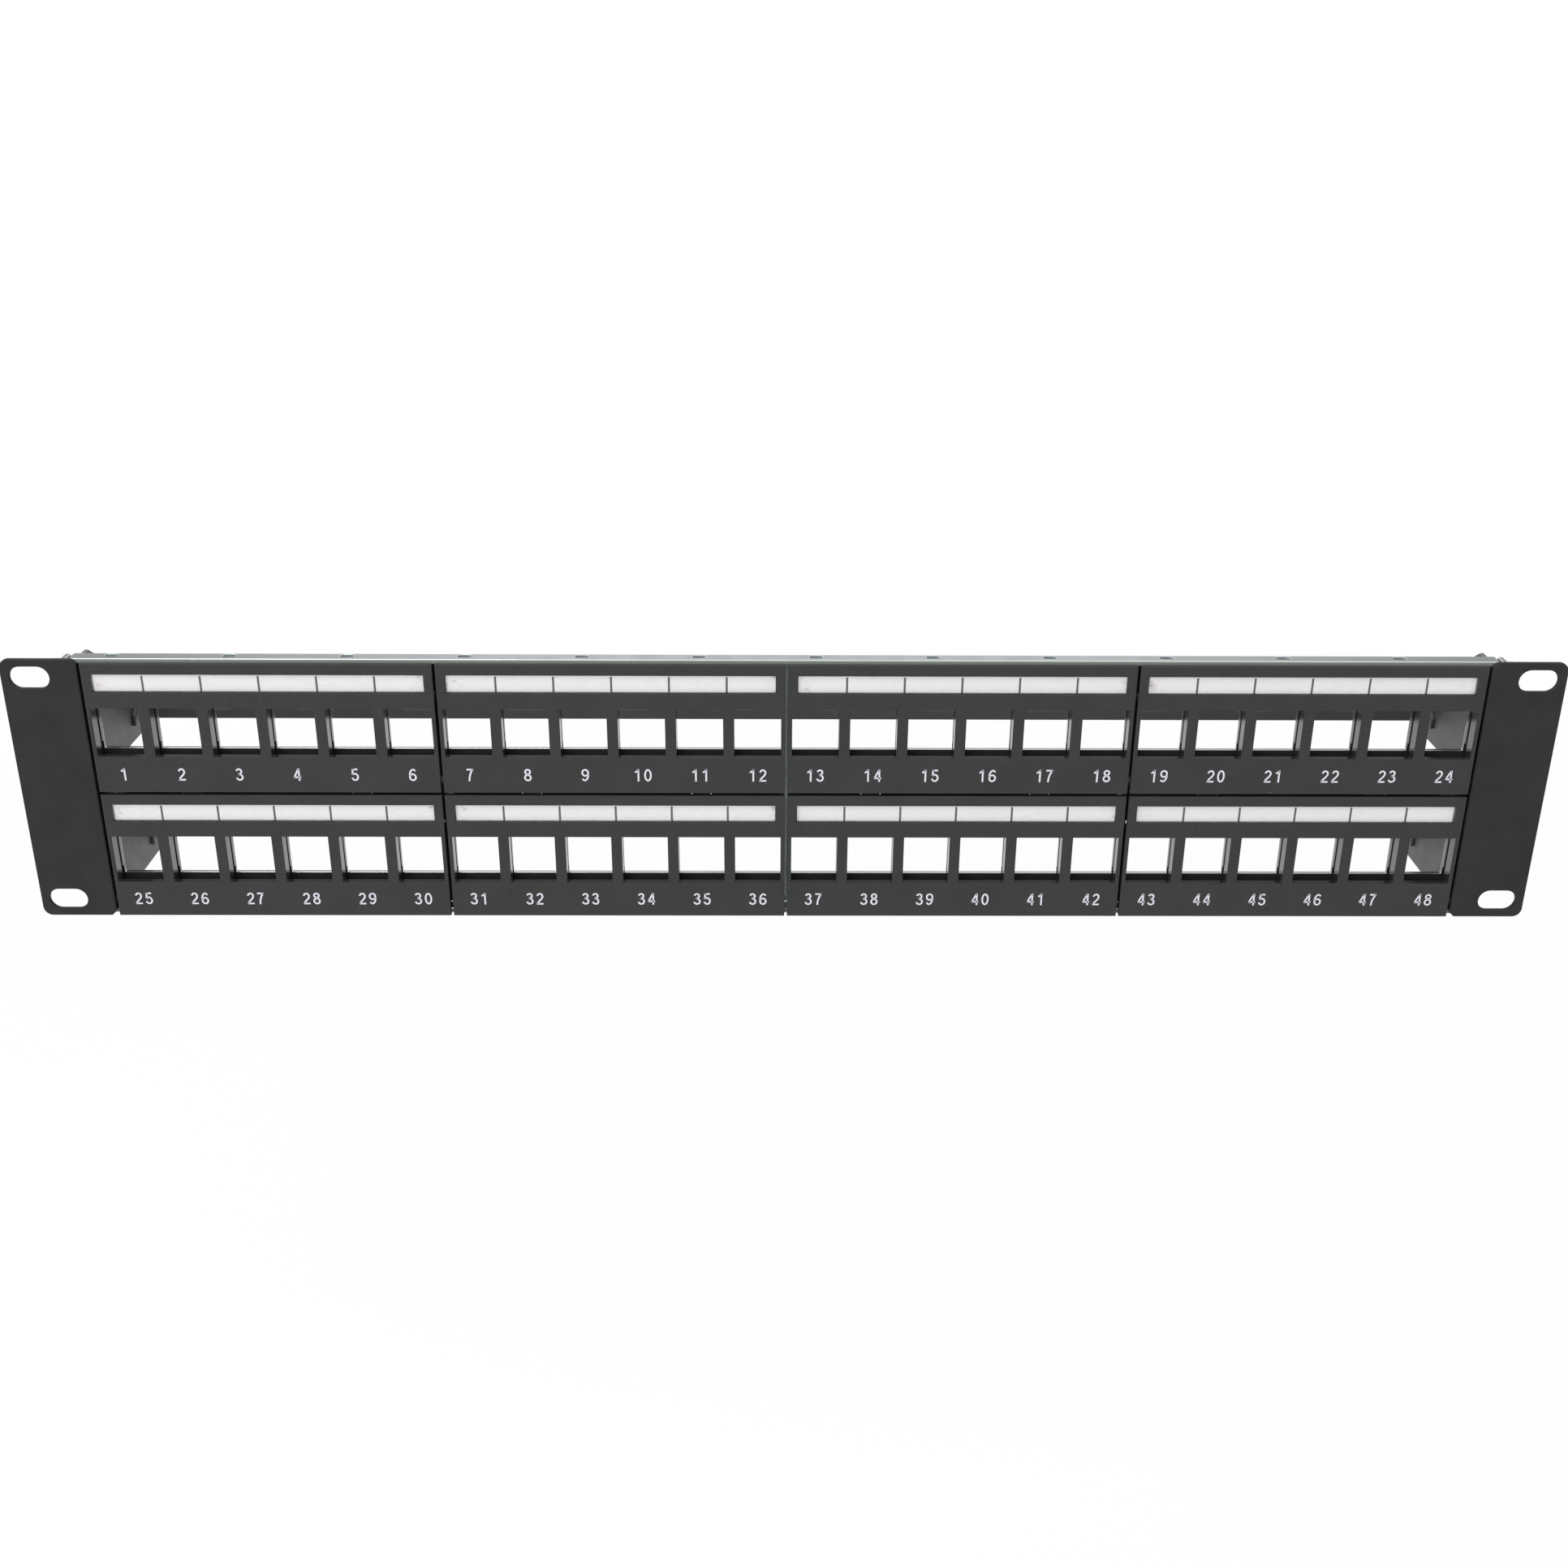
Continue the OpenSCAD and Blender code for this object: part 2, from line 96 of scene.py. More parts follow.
# %% [markdown]
# ## The camera
# The panel was seen from half a metre away and from about 24 degrees above, almost square on. A camera could be
# aimed by eye, but here its place was solved from the corners and seams of the panel, whose sizes are known. Three
# unit vectors say where it points, and the lens follows from the size of the picture, which is 1932 pixels square.

# %% Camera
PICTURE = 1932
SENSOR = 36
FOCAL_PIXELS = 2135
NEAREST = 10 * MM
eye = Vector((-5.82, -503.23, 222.72)) * MM
forward = Vector((0.00929, 0.91597, -0.40114)).normalized()
right = Vector((0.99996, -0.00778, 0.0054))
right = (right - right.dot(forward) * forward).normalized()
up = right.cross(forward)

camera_data = bpy.data.cameras.new("camera")
camera_data.sensor_width = SENSOR
camera_data.lens = FOCAL_PIXELS * SENSOR / PICTURE
camera_data.clip_start = NEAREST
camera = bpy.data.objects.new("camera", camera_data)
bpy.context.scene.collection.objects.link(camera)
turn = Matrix((right, up, -forward)).transposed()
camera.matrix_world = Matrix.Translation(eye) @ turn.to_4x4()
bpy.context.scene.camera = camera
print("lens in mm", round(camera_data.lens, 2))

# %% [markdown]
# ## Light and floor
# The photograph is a product shot on white. White could be made with more light, but that would wash out the
# finishes, so the light stays plain and only what the camera sees of the world and the floor is white. The same
# white shows in reflections, which is what draws the pale lines along the port walls. Two soft boxes stand to the
# left, because the panel gets a little darker towards its right end. The floor lies well below the panel. Near the
# panel it is partly its own white, so that it keeps a soft shadow, and further out it is all white, so that no
# horizon shows.

# %% A helper for node trees
def add(tree, kind, sockets=None, **settings):
    """Adds a node. A socket that is given another node's output is linked to it."""
    made = tree.nodes.new(kind)
    for name, value in settings.items():
        setattr(made, name, value)
    for name, value in (sockets or {}).items():
        if isinstance(value, bpy.types.NodeSocket):
            tree.links.new(value, made.inputs[name])
        else:
            made.inputs[name].default_value = value
    return made


def maths(tree, operation, a, b=0.0, c=0.0):
    return add(tree, "ShaderNodeMath", {0: a, 1: b, 2: c}, operation=operation).outputs[0]


def seen_as_white(tree):
    """1 for camera, glossy and transmission rays, and 0 for the rays that light the object."""
    path = add(tree, "ShaderNodeLightPath").outputs
    either = maths(tree, "MAXIMUM", path["Is Camera Ray"], path["Is Glossy Ray"])
    return maths(tree, "MAXIMUM", either, path["Is Transmission Ray"])


print("node helpers", [helper.__name__ for helper in (add, maths, seen_as_white)])

# %% World
scene = bpy.context.scene
scene.view_settings.view_transform = "Standard"
WHITE = (1, 1, 1, 1)
FILL = 0.62
world = bpy.data.worlds.new("studio")
world.use_nodes = True
scene.world = world
sky = world.node_tree
sky.nodes.clear()
seen = add(sky, "ShaderNodeBackground", {"Color": WHITE, "Strength": 1.0})
lit = add(sky, "ShaderNodeBackground", {"Color": WHITE, "Strength": FILL})
pick = add(sky, "ShaderNodeMixShader", {0: seen_as_white(sky), 1: lit.outputs[0], 2: seen.outputs[0]})
add(sky, "ShaderNodeOutputWorld", {0: pick.outputs[0]})
print("fill light", FILL)

# %% Lamps
LAMPS = {
    "top_box": {"at": (-0.3, -0.25, 1.08), "width": 1.5, "height": 1.0, "power": 9.8},
    "front_box": {"at": (-0.6, -1.15, 0.7), "width": 1.2, "height": 0.8, "power": 7.6},
}


def soft_box(name, at, width, height, power):
    """A lamp that looks at the middle of the panel. Lengths are in metres and the power is in watts."""
    data = bpy.data.lights.new(name, "AREA")
    data.shape = "RECTANGLE"
    data.size = width
    data.size_y = height
    data.energy = power
    lamp = bpy.data.objects.new(name, data)
    lamp.location = at
    lamp.rotation_euler = (-Vector(at)).to_track_quat("-Z", "Y").to_euler()
    scene.collection.objects.link(lamp)


for name, lamp_sizes in LAMPS.items():
    soft_box(name, **lamp_sizes)

# %% Floor
FLOOR_DROP = 0.25
FLOOR_RADIUS = 6.0
FLOOR_CORNERS = 96
FLOOR_GREY = 0.9
FLOOR_OWN_WHITE = 0.85
FLOOR_FADE = (0.35, 1.1)
bm = bmesh.new()
bmesh.ops.create_circle(bm, cap_ends=True, radius=FLOOR_RADIUS, segments=FLOOR_CORNERS)
floor_mesh = bpy.data.meshes.new("floor")
bmesh.ops.translate(bm, verts=bm.verts, vec=(0, 0, cad_box[0][2] - FLOOR_DROP))
bm.to_mesh(floor_mesh)
bm.free()
floor = bpy.data.objects.new("floor", floor_mesh)
scene.collection.objects.link(floor)
floor_paint = bpy.data.materials.new("floor_paint")
floor_paint.use_nodes = True
tree = floor_paint.node_tree
tree.nodes.clear()
matt = add(tree, "ShaderNodeBsdfDiffuse", {"Color": (FLOOR_GREY, FLOOR_GREY, FLOOR_GREY, 1)})
own = add(tree, "ShaderNodeEmission", {"Color": WHITE, "Strength": 1.0})
spot = add(tree, "ShaderNodeTexCoord").outputs["Object"]
away = add(tree, "ShaderNodeVectorMath", {0: spot}, operation="LENGTH").outputs["Value"]
fade = add(tree, "ShaderNodeMapRange", {"Value": away, "From Min": FLOOR_FADE[0], "From Max": FLOOR_FADE[1],
                                        "To Min": FLOOR_OWN_WHITE, "To Max": 1.0}).outputs[0]
share = maths(tree, "MULTIPLY", seen_as_white(tree), fade)
mixed = add(tree, "ShaderNodeMixShader", {0: share, 1: matt.outputs[0], 2: own.outputs[0]})
add(tree, "ShaderNodeOutputMaterial", {0: mixed.outputs[0]})
floor_mesh.materials.append(floor_paint)
floor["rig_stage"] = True
print("floor at mm", round((cad_box[0][2] - FLOOR_DROP) / MM, 1))

# %% [markdown]
# ## Tools for the finishes
# All finishes are patterns in space, read from Object coordinates in metres, so a pattern's size is a real size. A
# few helpers keep each finish short: a grain of a given size, a value brought to a new range, a blend of two colours,
# a relief, a mask for faces that look along an axis, and single specks.

# %% Finish helpers
def blank(name):
    material = bpy.data.materials.new(name)
    material.use_nodes = True
    material.node_tree.nodes.clear()
    return material, material.node_tree


def place(tree, stretch=(1, 1, 1)):
    spot = add(tree, "ShaderNodeTexCoord").outputs["Object"]
    return add(tree, "ShaderNodeMapping", {"Vector": spot, "Scale": stretch}).outputs[0]


def grain(tree, where, size, detail=3.0):
    return add(tree, "ShaderNodeTexNoise", {"Vector": where, "Scale": 1 / size, "Detail": detail}).outputs["Fac"]


def ranged(tree, value, low, high, to_low, to_high):
    sockets = {"Value": value, "From Min": low, "From Max": high, "To Min": to_low, "To Max": to_high}
    return add(tree, "ShaderNodeMapRange", sockets).outputs[0]


def tint(tree, share, first, second):
    blend = add(tree, "ShaderNodeMix", {0: share, 6: first, 7: second}, data_type="RGBA")
    return blend.outputs[2]


def relief(tree, height, depth, strength):
    return add(tree, "ShaderNodeBump", {"Height": height, "Distance": depth, "Strength": strength}).outputs[0]


def faces_along(tree, axis, least=0.8, full=0.97):
    """1 on faces that look along an axis (0 for X, 1 for Y, 2 for Z), falling to 0 on the others."""
    normal = add(tree, "ShaderNodeNewGeometry").outputs["True Normal"]
    along = maths(tree, "ABSOLUTE", add(tree, "ShaderNodeSeparateXYZ", {0: normal}).outputs[axis])
    return ranged(tree, along, least, full, 0.0, 1.0)


def specks(tree, where, spacing, size, share):
    """Single dots: one in each cell of the given spacing, kept only in a share of the cells."""
    cells = add(tree, "ShaderNodeTexVoronoi", {"Vector": where, "Scale": 1 / spacing})
    near = ranged(tree, cells.outputs["Distance"], 0.5 * size / spacing, size / spacing, 1.0, 0.0)
    luck = add(tree, "ShaderNodeSeparateColor", {0: cells.outputs["Color"]}).outputs[0]
    return maths(tree, "MULTIPLY", near, maths(tree, "LESS_THAN", luck, share))


def finish(tree, **sockets):
    names = {key.replace("_", " "): value for key, value in sockets.items()}
    surface = add(tree, "ShaderNodeBsdfPrincipled", names)
    add(tree, "ShaderNodeOutputMaterial", {0: surface.outputs[0]})


def grey(value):
    return (value, value, value, 1)


NOISE_MIDDLE = (0.3, 0.7)


def from_grain(tree, pattern, to_low, to_high):
    """A noise keeps near 0.5, so its middle is what is stretched to the wanted range."""
    return ranged(tree, pattern, *NOISE_MIDDLE, to_low, to_high)


FINISH_HELPERS = (place, grain, ranged, from_grain, tint, relief, faces_along, specks, finish)
print("finish helpers", [helper.__name__ for helper in FINISH_HELPERS])

# %% [markdown]
# ## Bezel plastic
# The bezels are moulded in black plastic. Their faces have the fine spark-eroded grain of the mould, about a third
# of a millimetre across, which makes them matt. The port walls were drawn out of the mould along polished steel, so
# they are glossy and mirror the white surroundings at a low angle. The lip under a port is smooth too, but mirrors
# less, and its colour is drawn towards black as painted shade. Deep behind it, and in the seams, the plastic is dull,
# and its colour is drawn towards black as painted shade too. One material could do all four with masks, but the
# strength of a mirror is a single number for a whole material, so there are four that start from one colour.

# %% Bezel plastic
GRAIN_SIZE = 0.35 * MM
BLACK = ((0.027, 0.027, 0.027, 1), (0.033, 0.033, 0.033, 1))


def plastic_tone(tree, where):
    cloud = grain(tree, where, 14 * MM)
    tone = tint(tree, from_grain(tree, cloud, 0.0, 1.0), *BLACK)
    return tint(tree, specks(tree, where, 9 * MM, 0.16 * MM, 0.1), tone, grey(0.3))


bezel_plastic, tree = blank("bezel_plastic")
where = place(tree)
front = faces_along(tree, 1)
fine = grain(tree, where, GRAIN_SIZE)
tone = plastic_tone(tree, where)
tone = tint(tree, ranged(tree, fine, 0.35, 0.7, 0.0, 0.55), tone, (0.046, 0.046, 0.047, 1))
finish(tree, Base_Color=tone, Roughness=ranged(tree, front, 0.0, 1.0, 0.72, 0.58), Specular_IOR_Level=0.2,
       Normal=relief(tree, fine, 0.03 * MM, ranged(tree, front, 0.0, 1.0, 0.2, 0.7)))

bezel_wall, tree = blank("bezel_wall")
where = place(tree)
drawn = grain(tree, place(tree, (1, 0.08, 1)), 0.3 * MM, 2.0)
finish(tree, Base_Color=plastic_tone(tree, where), Roughness=from_grain(tree, drawn, 0.1, 0.2),
       Specular_IOR_Level=0.8, Normal=relief(tree, drawn, 0.004 * MM, 0.3))

bezel_lip_shaded, tree = blank("bezel_lip_shaded")
where = place(tree)
worn = grain(tree, where, 1.5 * MM)
# Painted shade: the lip's colour is drawn 40 % towards black.
finish(tree, Base_Color=tint(tree, 0.4, plastic_tone(tree, where), grey(0.004)),
       Roughness=from_grain(tree, worn, 0.1, 0.22), Specular_IOR_Level=0.05)

bezel_deep_shaded, tree = blank("bezel_deep_shaded")
where = place(tree)
# Painted shade: deep in the moulding and in the seams the colour is drawn 30 % towards black.
tone = tint(tree, 0.3, plastic_tone(tree, where), grey(0.003))
finish(tree, Base_Color=tone, Roughness=from_grain(tree, grain(tree, where, GRAIN_SIZE), 0.6, 0.8),
       Specular_IOR_Level=0.1)
print("grain in mm", GRAIN_SIZE / MM)

# %% [markdown]
# ## Ear coating
# The ears are steel with a black powder coat. Powder melts into a skin with a soft ripple, slightly larger than a
# mould's grain, and the skin is a little darker than the plastic. The plastic's pattern with other numbers would do,
# but the ripple is smoother than a grain, so the coat has its own.

# %% Ear coating
ear_coat, tree = blank("ear_coat")
where = place(tree)
ripple = grain(tree, where, 0.6 * MM, 2.0)
cloud = grain(tree, where, 9 * MM)
tone = tint(tree, from_grain(tree, cloud, 0.0, 1.0), (0.021, 0.0205, 0.021, 1), (0.027, 0.0265, 0.027, 1))
tone = tint(tree, specks(tree, where, 7 * MM, 0.14 * MM, 0.12), tone, grey(0.22))
finish(tree, Base_Color=tone, Roughness=from_grain(tree, ripple, 0.5, 0.62), Specular_IOR_Level=0.15,
       Normal=relief(tree, ripple, 0.04 * MM, 0.6))
print(ear_coat.name, "nodes", len(tree.nodes))

# %% [markdown]
# ## Zinc
# The frame is zinc-plated sheet with a bluish passivation. Plated sheet shows faint drawing lines along the mill's
# direction and small clouds in its gloss, and its colour is darkened towards its ends as painted shade. The rounded
# edges of the sheet are pale, partly rubbed bright and partly a painted highlight. The web behind the bezels gets a
# darker colour as painted shade, and the arms are rougher and get a darker colour as painted shade as well, so they
# get the same pattern with other numbers. Where the sheet was cut or punched it is rough and no longer mirrors, so
# those faces get a torn grain.

# %% Zinc
# Painted shade: between these distances from the middle the zinc's colour goes over to a darker colour at its ends.
SHADED_ENDS = (90 * MM, 215 * MM)
RUBBED_HIGHLIGHT_FROM = (0.94, 0.99)
ZINC_SHADED_ENDS = (0.19, 0.20, 0.195, 1)
ZINC_RUBBED_HIGHLIGHT = (0.82, 0.85, 0.84, 1)


def zinc(name, dark, pale, ends, rubbed_highlight, dull, bright):
    material, tree = blank(name)
    where = place(tree)
    x = add(tree, "ShaderNodeSeparateXYZ", {0: where}).outputs[0]
    lines = grain(tree, place(tree, (0.04, 1, 1)), 0.5 * MM, 2.0)
    cloud = grain(tree, where, 7 * MM)
    tone = tint(tree, from_grain(tree, cloud, 0.0, 1.0), dark, pale)
    tone = tint(tree, ranged(tree, lines, 0.4, 0.75, 0.0, 0.35), tone, pale)
    # Painted shade: the colour darkens towards the ends.
    tone = tint(tree, ranged(tree, maths(tree, "ABSOLUTE", x), *SHADED_ENDS, 0.0, 1.0), tone, ends)
    # Painted highlight, with some wear: faces that look along no axis, the rounded edges, take the pale rubbed colour.
    flat = [faces_along(tree, axis, *RUBBED_HIGHLIGHT_FROM) for axis in range(3)]
    square_on = maths(tree, "MAXIMUM", maths(tree, "MAXIMUM", flat[0], flat[1]), flat[2])
    tone = tint(tree, maths(tree, "SUBTRACT", 1.0, square_on), tone, rubbed_highlight)
    finish(tree, Base_Color=tone, Metallic=1.0, Roughness=from_grain(tree, cloud, bright, dull),
           Normal=relief(tree, lines, 0.01 * MM, 0.5))
    return material


def torn_zinc(name, dark, pale):
    material, tree = blank(name)
    torn = grain(tree, place(tree), 0.2 * MM)
    tone = tint(tree, from_grain(tree, torn, 0.0, 1.0), dark, pale)
    finish(tree, Base_Color=tone, Metallic=0.1, Roughness=0.55, Normal=relief(tree, torn, 0.02 * MM, 0.5))
    return material


frame_zinc = zinc("frame_zinc", (0.35, 0.385, 0.395, 1), (0.44, 0.485, 0.49, 1), ZINC_SHADED_ENDS, ZINC_RUBBED_HIGHLIGHT, 0.3, 0.2)
# Painted shade: the web's darker colour stands for the shade behind the bezels.
web_zinc_shaded = zinc("web_zinc_shaded", (0.17, 0.19, 0.20, 1), (0.22, 0.245, 0.255, 1), ZINC_SHADED_ENDS, ZINC_RUBBED_HIGHLIGHT, 0.3, 0.2)
# Painted shade: the arms' darker colour stands for shade; their higher roughness is their own.
arm_zinc_shaded = zinc("arm_zinc_shaded", (0.12, 0.124, 0.12, 1), (0.165, 0.169, 0.165, 1), (0.137, 0.141, 0.137, 1), grey(0.3),
                0.6, 0.5)
punched_zinc = torn_zinc("punched_zinc", (0.20, 0.24, 0.25, 1), (0.34, 0.39, 0.40, 1))
cut_zinc = torn_zinc("cut_zinc", (0.15, 0.165, 0.15, 1), (0.22, 0.24, 0.22, 1))
print("zincs", [m.name for m in (frame_zinc, web_zinc_shaded, arm_zinc_shaded, punched_zinc, cut_zinc)])

# %% [markdown]
# ## Paper and its print
# Each label is a strip of white paper with five printed lines, one between each two ports. The lines could be thin
# pieces of mesh, but ink has no thickness, so they are part of the paper's colour. A wrap along X brings every strip
# to the same count, and a second wrap along Z does the same for the two rows. Strips that were slid in have scuffed
# ends.

# %% Paper
BEZEL_PITCH = 108.6 * MM
LINES = 5
LINE_PITCH = 17.844 * MM
LINE_WIDTH = 0.65 * MM
ROW_PITCH = 43.8 * MM
STRIP_FOOT = 33.3 * MM
LINE_TOP = 5.15 * MM
SCUFFED_ENDS = (45 * MM, 50.5 * MM)
paper, tree = blank("paper")
where = place(tree)
x, _, z = add(tree, "ShaderNodeSeparateXYZ", {0: where}).outputs
along = maths(tree, "WRAP", x, BEZEL_PITCH, 0.0)
along = maths(tree, "SUBTRACT", along, BEZEL_PITCH / 2)
off_line = maths(tree, "PINGPONG", along, LINE_PITCH / 2)
ink = ranged(tree, off_line, LINE_WIDTH * 0.4, LINE_WIDTH * 0.6, 1.0, 0.0)
from_middle = maths(tree, "ABSOLUTE", along)
ink = maths(tree, "MULTIPLY", ink, maths(tree, "LESS_THAN", from_middle, LINES / 2 * LINE_PITCH))
height = maths(tree, "WRAP", maths(tree, "SUBTRACT", z, STRIP_FOOT), ROW_PITCH, 0.0)
ink = maths(tree, "MULTIPLY", ink, maths(tree, "LESS_THAN", height, LINE_TOP))
fibre = grain(tree, place(tree, (0.3, 1, 1)), 0.5 * MM)
white = tint(tree, from_grain(tree, fibre, 0.0, 1.0), (0.78, 0.755, 0.75, 1), (0.84, 0.815, 0.81, 1))
ends = ranged(tree, from_middle, *SCUFFED_ENDS, 0.0, 1.0)
scuff = ranged(tree, grain(tree, place(tree, (0.6, 1, 1)), 1.6 * MM), 0.56, 0.7, 0.0, 0.7)
white = tint(tree, maths(tree, "MULTIPLY", ends, scuff), white, (0.42, 0.34, 0.34, 1))
finish(tree, Base_Color=tint(tree, ink, white, (0.035, 0.035, 0.04, 1)), Roughness=0.7, IOR=1.45,
       Normal=relief(tree, fibre, 0.01 * MM, 0.4))
print("lines to a strip", LINES, "pitch in mm", LINE_PITCH / MM)

# %% [markdown]
# ## Clear covers
# A clear strip of plastic lies over each label. Full glass would be slow and would darken the paper, and a strip this
# thin hardly bends light, so it is a see-through surface with a gloss that grows at a low angle. A Fresnel node would
# do for the gloss of an open sheet, but on the rear face of a closed strip it counts the light as leaving glass and
# turns most of it back, so the growth is worked out from the angle alone. Fine scratches make the gloss uneven.

# %% Clear cover
HEAD_ON_GLOSS = 0.036
GLOSS_GROWTH = 5.0
clear_cover, tree = blank("clear_cover")
scratch = grain(tree, place(tree, (0.15, 1, 1)), 0.4 * MM)
gloss = add(tree, "ShaderNodeBsdfGlossy", {"Color": WHITE, "Roughness": ranged(tree, scratch, 0.4, 0.7, 0.06, 0.25)})
through = add(tree, "ShaderNodeBsdfTransparent", {"Color": (0.99, 0.995, 0.995, 1)})
tilt = add(tree, "ShaderNodeLayerWeight", {"Blend": 0.5}).outputs["Facing"]
skin = ranged(tree, maths(tree, "POWER", tilt, GLOSS_GROWTH), 0.0, 1.0, HEAD_ON_GLOSS, 1.0)
both = add(tree, "ShaderNodeMixShader", {0: skin, 1: through.outputs[0], 2: gloss.outputs[0]})
add(tree, "ShaderNodeOutputMaterial", {0: both.outputs[0]})
print("gloss seen head on", HEAD_ON_GLOSS)

# %% [markdown]
# ## Bar paint, fasteners and ink
# The cable bars are steel strip with a smooth black paint. Rivets and screws are bright plated steel with a fine
# uneven polish. The numbers are pale ink, screen printed, so the bezel's grain shows in it a little. All three could
# share one grain, but each has a size of its own, so each is a short finish from the same helpers.

# %% Bar paint
bar_paint, tree = blank("bar_paint")
where = place(tree)
skin = grain(tree, where, 0.8 * MM, 2.0)
cloud = grain(tree, where, 12 * MM)
tone = tint(tree, from_grain(tree, cloud, 0.0, 1.0), grey(0.056), grey(0.068))
finish(tree, Base_Color=tone, Roughness=from_grain(tree, skin, 0.38, 0.5), IOR=1.5,
       Normal=relief(tree, skin, 0.02 * MM, 0.4))
print(bar_paint.name, "nodes", len(tree.nodes))

# %% Fastener steel
fastener_steel, tree = blank("fastener_steel")
where = place(tree)
swirl = grain(tree, where, 0.25 * MM)
tone = tint(tree, from_grain(tree, swirl, 0.0, 1.0), (0.50, 0.51, 0.50, 1), (0.64, 0.65, 0.64, 1))
finish(tree, Base_Color=tone, Metallic=1.0, Roughness=from_grain(tree, swirl, 0.28, 0.42),
       Normal=relief(tree, swirl, 0.01 * MM, 0.4))
print(fastener_steel.name, "nodes", len(tree.nodes))

# %% Number ink
number_ink, tree = blank("number_ink")
where = place(tree)
mesh_grain = grain(tree, where, GRAIN_SIZE)
tone = tint(tree, ranged(tree, mesh_grain, 0.4, 0.7, 0.0, 0.6), (0.70, 0.70, 0.77, 1), (0.58, 0.58, 0.64, 1))
finish(tree, Base_Color=tone, Roughness=0.5, IOR=1.5, Normal=relief(tree, mesh_grain, 0.02 * MM, 0.5))
print(number_ink.name, "nodes", len(tree.nodes))

# %% [markdown]
# ## Rounded edges
# Nothing moulded or painted has a perfectly sharp edge, and the thin lines of light along edges are what make a black
# panel readable. The CAD meshes may not change, so each part that needs it is copied: its loose triangles are merged,
# sliver triangles are joined and cut again, and a bevel runs round every sharp edge, 0.12 to 0.4 mm wide by the part.
# The modifier's clamp would cut every bevel of a part to its shortest edge, so it is off. Then nothing keeps two
# bevels from crossing, so loop slide is off too, the faces stay triangles, because a large face with many corners
# fills wrongly, and edges behind a part's front can be given a smaller share of the width through their bevel weight.
# A part that lies face to face on another one can be given a hair of air behind it, which a see-through part needs.

# %% Rounding tool
SHARP = math.radians(40)
FLAT = math.radians(0.5)
SAME_PLACE = 0.001 * MM
FRONT_EDGES = 1 * MM
BEVEL_STEPS = 2


def rounded(node, name, width, finishes, air_behind=0.0, choose=None, rear_share=1.0):
    """A copy of a node with rounded edges, which replaces it. choose picks the finish of each face."""
    mesh = cad[node].data.copy()
    bm = bmesh.new()
    bm.from_mesh(mesh)
    bmesh.ops.remove_doubles(bm, verts=bm.verts, dist=SAME_PLACE)
    bmesh.ops.dissolve_limit(bm, angle_limit=FLAT, verts=bm.verts, edges=bm.edges)
    rear = max(v.co.y for v in bm.verts)
    for v in bm.verts:
        if v.co.y == rear:
            v.co.y -= air_behind
    bmesh.ops.triangulate(bm, faces=bm.faces)
    front = min(v.co.y for v in bm.verts)
    weight = bm.edges.layers.float.new("bevel_weight_edge")
    for edge in bm.edges:
        if edge.calc_face_angle() > SHARP:
            edge[weight] = 1.0 if all(v.co.y - front < FRONT_EDGES for v in edge.verts) else rear_share
    bm.to_mesh(mesh)
    bm.free()
    body = cad[node]["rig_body"]
    sharp = bpy.data.objects.new(name + "_sharp", mesh)
    scene.collection.objects.link(sharp)
    bevel = sharp.modifiers.new("edges", "BEVEL")
    bevel.width = width
    bevel.segments = BEVEL_STEPS
    bevel.use_clamp_overlap = False
    bevel.loop_slide = False
    bevel.limit_method = "WEIGHT"
    view = bpy.context.evaluated_depsgraph_get()
    done = bpy.data.meshes.new_from_object(sharp.evaluated_get(view))
    bpy.data.objects.remove(sharp)
    done.materials.clear()
    for material in finishes:
        done.materials.append(material)
    for face in done.polygons if choose else ():
        face.material_index = choose(face)
    done.name = name
    piece = bpy.data.objects.new(name, done)
    scene.collection.objects.link(piece)
    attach(piece, body)
    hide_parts(node)
    return piece


def first_depths(piece):
    """How far behind a piece's front its first points lie, in mm, which shows the width of its bevel."""
    spots = [v.co.y for v in piece.data.vertices]
    return sorted({round((y - min(spots)) / MM, 3) for y in spots})[:4]


print("bevel steps", BEVEL_STEPS)

# %% Bezels and ears
BEZELS = [f"bezel_{i}" for i in range(1, 9)]
BEZEL_FINISHES = (bezel_plastic, bezel_wall, bezel_lip_shaded, bezel_deep_shaded)
ROW_FOOT = (-0.25 * MM, -44.05 * MM)
LIP_ZONE = (9 * MM, 14 * MM)
DEEP = 2.2 * MM
SEAM = 1 * MM
BEZEL_EDGE, BEZEL_REAR_SHARE = 0.2 * MM, 0.4
EAR_EDGE = 0.25 * MM
SQUARE_ON = 0.95
GRAINED, SMOOTH, SHADED_LIP, DULL_SHADED = range(4)


def bezel_finish(face):
    """Walls in a port are smooth, and so is the top edge. Faces that look into a seam or lie deep, and those along the
    gap between the rows, are dull and get painted shade, and the lip gets painted shade too.
    """
    in_seam = abs((face.center.x + BEZEL_PITCH / 2) % BEZEL_PITCH - BEZEL_PITCH / 2) < SEAM
    if abs(face.normal.x) > SQUARE_ON:
        return DULL_SHADED if in_seam else SMOOTH
    # Faces deep in the moulding, and those along the gap between the rows, get the painted shade.
    if face.center.y - cad_box[0][1] > DEEP or abs(face.center.z - ROW_FOOT[0]) < SEAM and face.normal.y > -0.5:
        return DULL_SHADED
    if face.normal.z < SQUARE_ON:
        return GRAINED
    height = (face.center.z - ROW_FOOT[0]) % ROW_PITCH
    if LIP_ZONE[0] < height < LIP_ZONE[1]:
        return SHADED_LIP
    return SMOOTH if face.center.z > ROW_PITCH - 2 * SEAM else GRAINED


